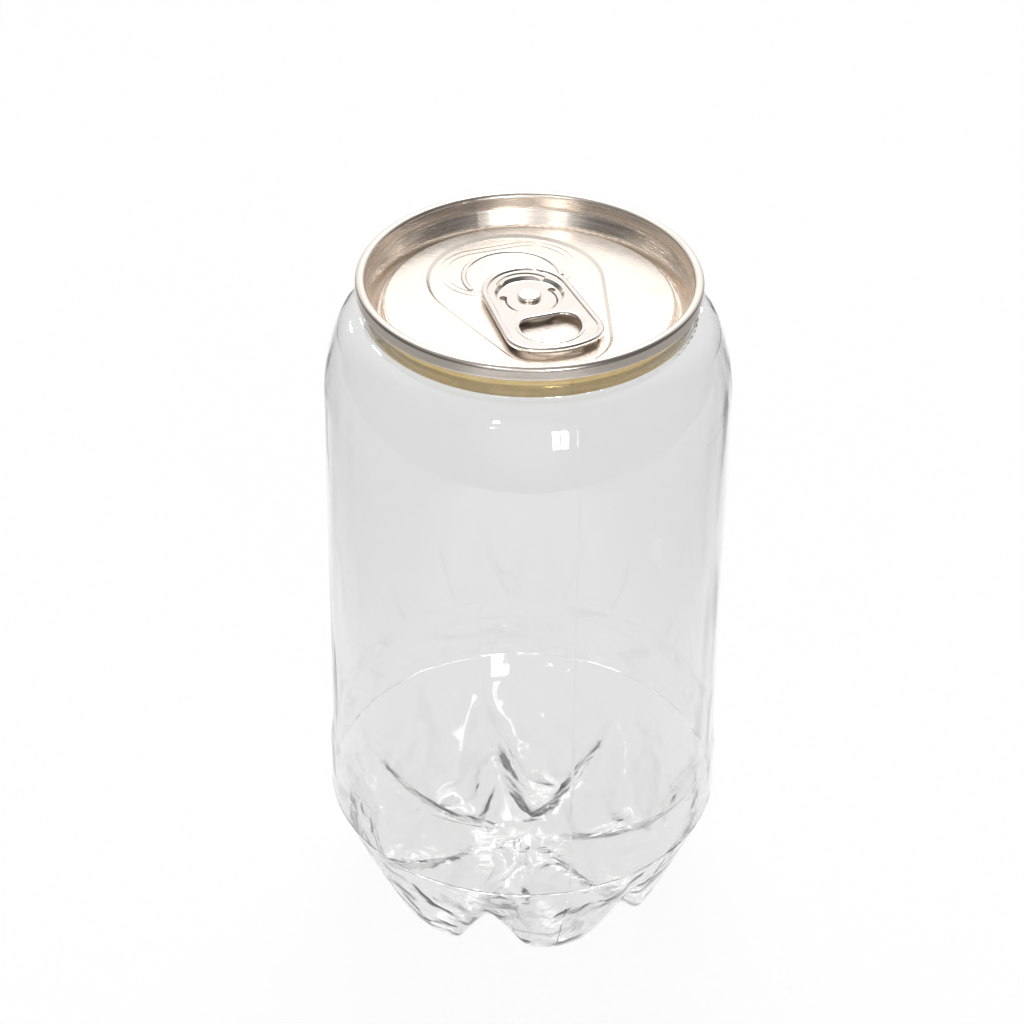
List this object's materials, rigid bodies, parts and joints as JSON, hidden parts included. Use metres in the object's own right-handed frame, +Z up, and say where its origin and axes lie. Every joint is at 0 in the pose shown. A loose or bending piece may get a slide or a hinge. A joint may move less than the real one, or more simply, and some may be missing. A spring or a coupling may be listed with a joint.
{
  "type": "plastic can",
  "caption": "Sealed clear plastic drink can with a petal-shaped foot base and a double-seamed aluminium end carrying a stay-on tab.",
  "frame": {"origin": "centre of the standing plane, on the can's axis", "axes": "+Z up along the can's axis, front towards -Y; the tab's nose points 20 degrees to the left of +Y"},
  "size_m": [0.0656, 0.0656, 0.1194],
  "materials": {
    "pet": "clear blow-moulded PET, glossy",
    "end_metal": "fine rolled, lacquered, warm silver",
    "tab_metal": "bright rolled sheet, warm silver"
  },
  "bodies": {
    "root": {"pet_shell": "pet", "can_end": "end_metal", "pull_tab": "tab_metal"}
  },
  "joints": []
}
